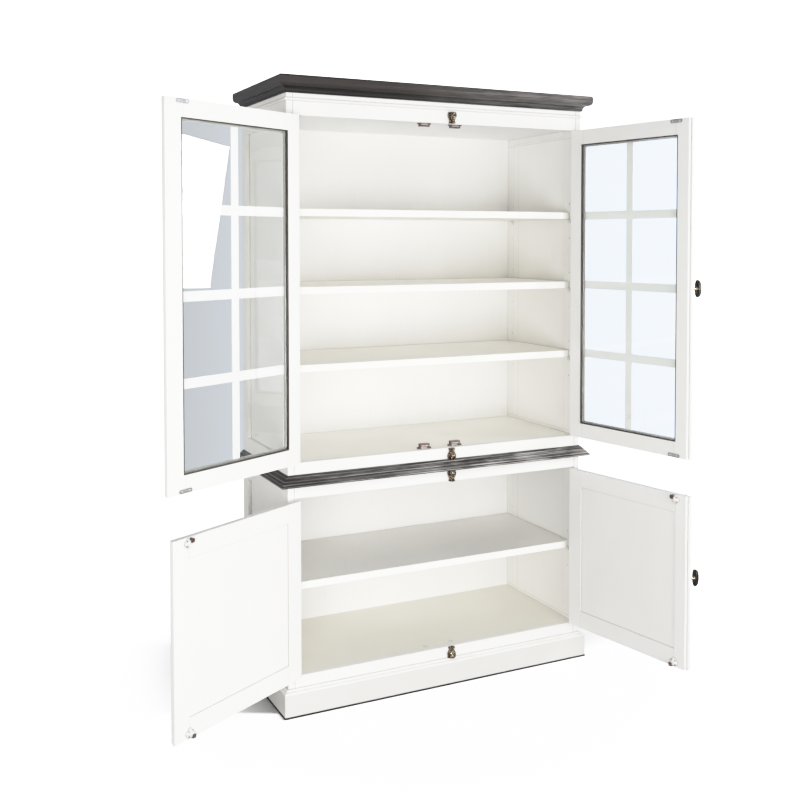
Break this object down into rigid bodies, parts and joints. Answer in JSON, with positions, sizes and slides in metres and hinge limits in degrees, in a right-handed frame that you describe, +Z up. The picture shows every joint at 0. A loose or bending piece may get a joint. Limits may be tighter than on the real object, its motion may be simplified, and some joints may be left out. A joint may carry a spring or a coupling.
{
  "type": "china cabinet",
  "caption": "Tall two-section china cabinet: glazed doors over adjustable shelves above, panelled doors below, dark cornice and waist moulding, cremone bolts on the right.",
  "frame": {"origin": "on the floor, under the middle of the carcass's width and depth", "axes": "+X to the cabinet's right seen from the front, +Y from the front to the back, +Z up"},
  "size_m": [1.7295, 1.0281, 2.082],
  "materials": {
    "white_paint": "satin",
    "interior_paint": "satin",
    "dark_trim": "rubbed satin",
    "glass": "clear",
    "glazing_bead": "satin",
    "bronze": "antique bronze",
    "strike_steel": "zinc plated",
    "hinge_steel": "antique bronze",
    "catch_brown": "moulded",
    "catch_white": "moulded",
    "support_steel": "dark"
  },
  "bodies": {
    "cabinet": {"bolt_keepers": "bronze", "buffet_top": "dark_trim", "catch_plates": "catch_white", "cornice": "dark_trim", "frieze_bead": "white_paint", "hinge_frame_leaves": "hinge_steel", "lower_back_panel": "interior_paint", "lower_face_frame": "white_paint", "lower_floor": "interior_paint", "lower_shelf": "interior_paint", "lower_side_left": "white_paint", "lower_side_right": "white_paint", "magnetic_catches": "catch_brown", "plinth_boards": "white_paint", "plinth_moulding": "white_paint", "shelf_supports": "support_steel", "top_board": "dark_trim", "upper_back_panel": "interior_paint", "upper_ceiling": "interior_paint", "upper_face_frame": "white_paint", "upper_floor": "interior_paint", "upper_shelf_1": "interior_paint", "upper_shelf_2": "interior_paint", "upper_shelf_3": "interior_paint", "upper_side_left": "white_paint", "upper_side_right": "white_paint", "waist_moulding": "dark_trim"},
    "upper_left_door": {"upper_left_door_glass": "glass", "upper_left_door_glazing_beads": "glazing_bead", "upper_left_door_hinge_leaves": "hinge_steel", "upper_left_door_muntins": "white_paint", "upper_left_door_rails": "white_paint", "upper_left_door_stiles": "white_paint", "upper_left_door_strikes": "strike_steel"},
    "upper_right_door": {"upper_bolt_case": "bronze", "upper_right_door_glass": "glass", "upper_right_door_glazing_beads": "glazing_bead", "upper_right_door_hinge_leaves": "hinge_steel", "upper_right_door_muntins": "white_paint", "upper_right_door_rails": "white_paint", "upper_right_door_stiles": "white_paint", "upper_right_door_strikes": "strike_steel"},
    "lower_left_door": {"lower_left_door_catches": "catch_white", "lower_left_door_hinge_leaves": "hinge_steel", "lower_left_door_panel": "white_paint", "lower_left_door_rails": "white_paint", "lower_left_door_stiles": "white_paint"},
    "lower_right_door": {"lower_bolt_case": "bronze", "lower_right_door_catches": "catch_white", "lower_right_door_hinge_leaves": "hinge_steel", "lower_right_door_panel": "white_paint", "lower_right_door_rails": "white_paint", "lower_right_door_stiles": "white_paint"},
    "upper_knob": {"upper_bolt_knob": "bronze"},
    "upper_rod_top": {"upper_bolt_rod_top": "bronze"},
    "upper_rod_bottom": {"upper_bolt_rod_bottom": "bronze"},
    "lower_knob": {"lower_bolt_knob": "bronze"},
    "lower_rod_top": {"lower_bolt_rod_top": "bronze"},
    "lower_rod_bottom": {"lower_bolt_rod_bottom": "bronze"}
  },
  "joints": [
    {"name": "upper_left_door_hinge", "type": "hinge", "parent": "cabinet", "child": "upper_left_door", "pos_m": [-0.547, -0.2458, 1.3935], "axis": [0, 0, -1], "range_deg": [-152, 18]},
    {"name": "upper_right_door_hinge", "type": "hinge", "parent": "cabinet", "child": "upper_right_door", "pos_m": [0.547, -0.2458, 1.3935], "axis": [0, 0, 1], "range_deg": [-100, 70]},
    {"name": "lower_left_door_hinge", "type": "hinge", "parent": "cabinet", "child": "lower_left_door", "pos_m": [-0.547, -0.2458, 0.422], "axis": [0, 0, -1], "range_deg": [-150, 20]},
    {"name": "lower_right_door_hinge", "type": "hinge", "parent": "cabinet", "child": "lower_right_door", "pos_m": [0.547, -0.2458, 0.422], "axis": [0, 0, 1], "range_deg": [-100, 70]},
    {"name": "upper_knob_turn", "type": "hinge", "parent": "upper_right_door", "child": "upper_knob", "pos_m": [0.63894, -0.75456, 1.3935], "axis": [0.9848, 0.1736, 0], "range_deg": [0, 90]},
    {"name": "upper_rod_top_slide", "type": "slide", "parent": "upper_right_door", "child": "upper_rod_top", "axis": [0, 0, 1], "range_m": [0, 0.0155]},
    {"name": "upper_rod_bottom_slide", "type": "slide", "parent": "upper_right_door", "child": "upper_rod_bottom", "axis": [0, 0, -1], "range_m": [0, 0.0156]},
    {"name": "lower_knob_turn", "type": "hinge", "parent": "lower_right_door", "child": "lower_knob", "pos_m": [0.63894, -0.75456, 0.422], "axis": [0.9848, 0.1736, 0], "range_deg": [0, 90]},
    {"name": "lower_rod_top_slide", "type": "slide", "parent": "lower_right_door", "child": "lower_rod_top", "axis": [0, 0, 1], "range_m": [0, 0.0155]},
    {"name": "lower_rod_bottom_slide", "type": "slide", "parent": "lower_right_door", "child": "lower_rod_bottom", "axis": [0, 0, -1], "range_m": [0, 0.0156]}
  ],
  "couplings": [
    {"joint": "upper_knob_turn", "follows": "upper_rod_top_slide", "rad_per_m": 101.01},
    {"joint": "upper_rod_bottom_slide", "follows": "upper_rod_top_slide", "ratio": 1},
    {"joint": "lower_knob_turn", "follows": "lower_rod_top_slide", "rad_per_m": 101.01},
    {"joint": "lower_rod_bottom_slide", "follows": "lower_rod_top_slide", "ratio": 1}
  ]
}
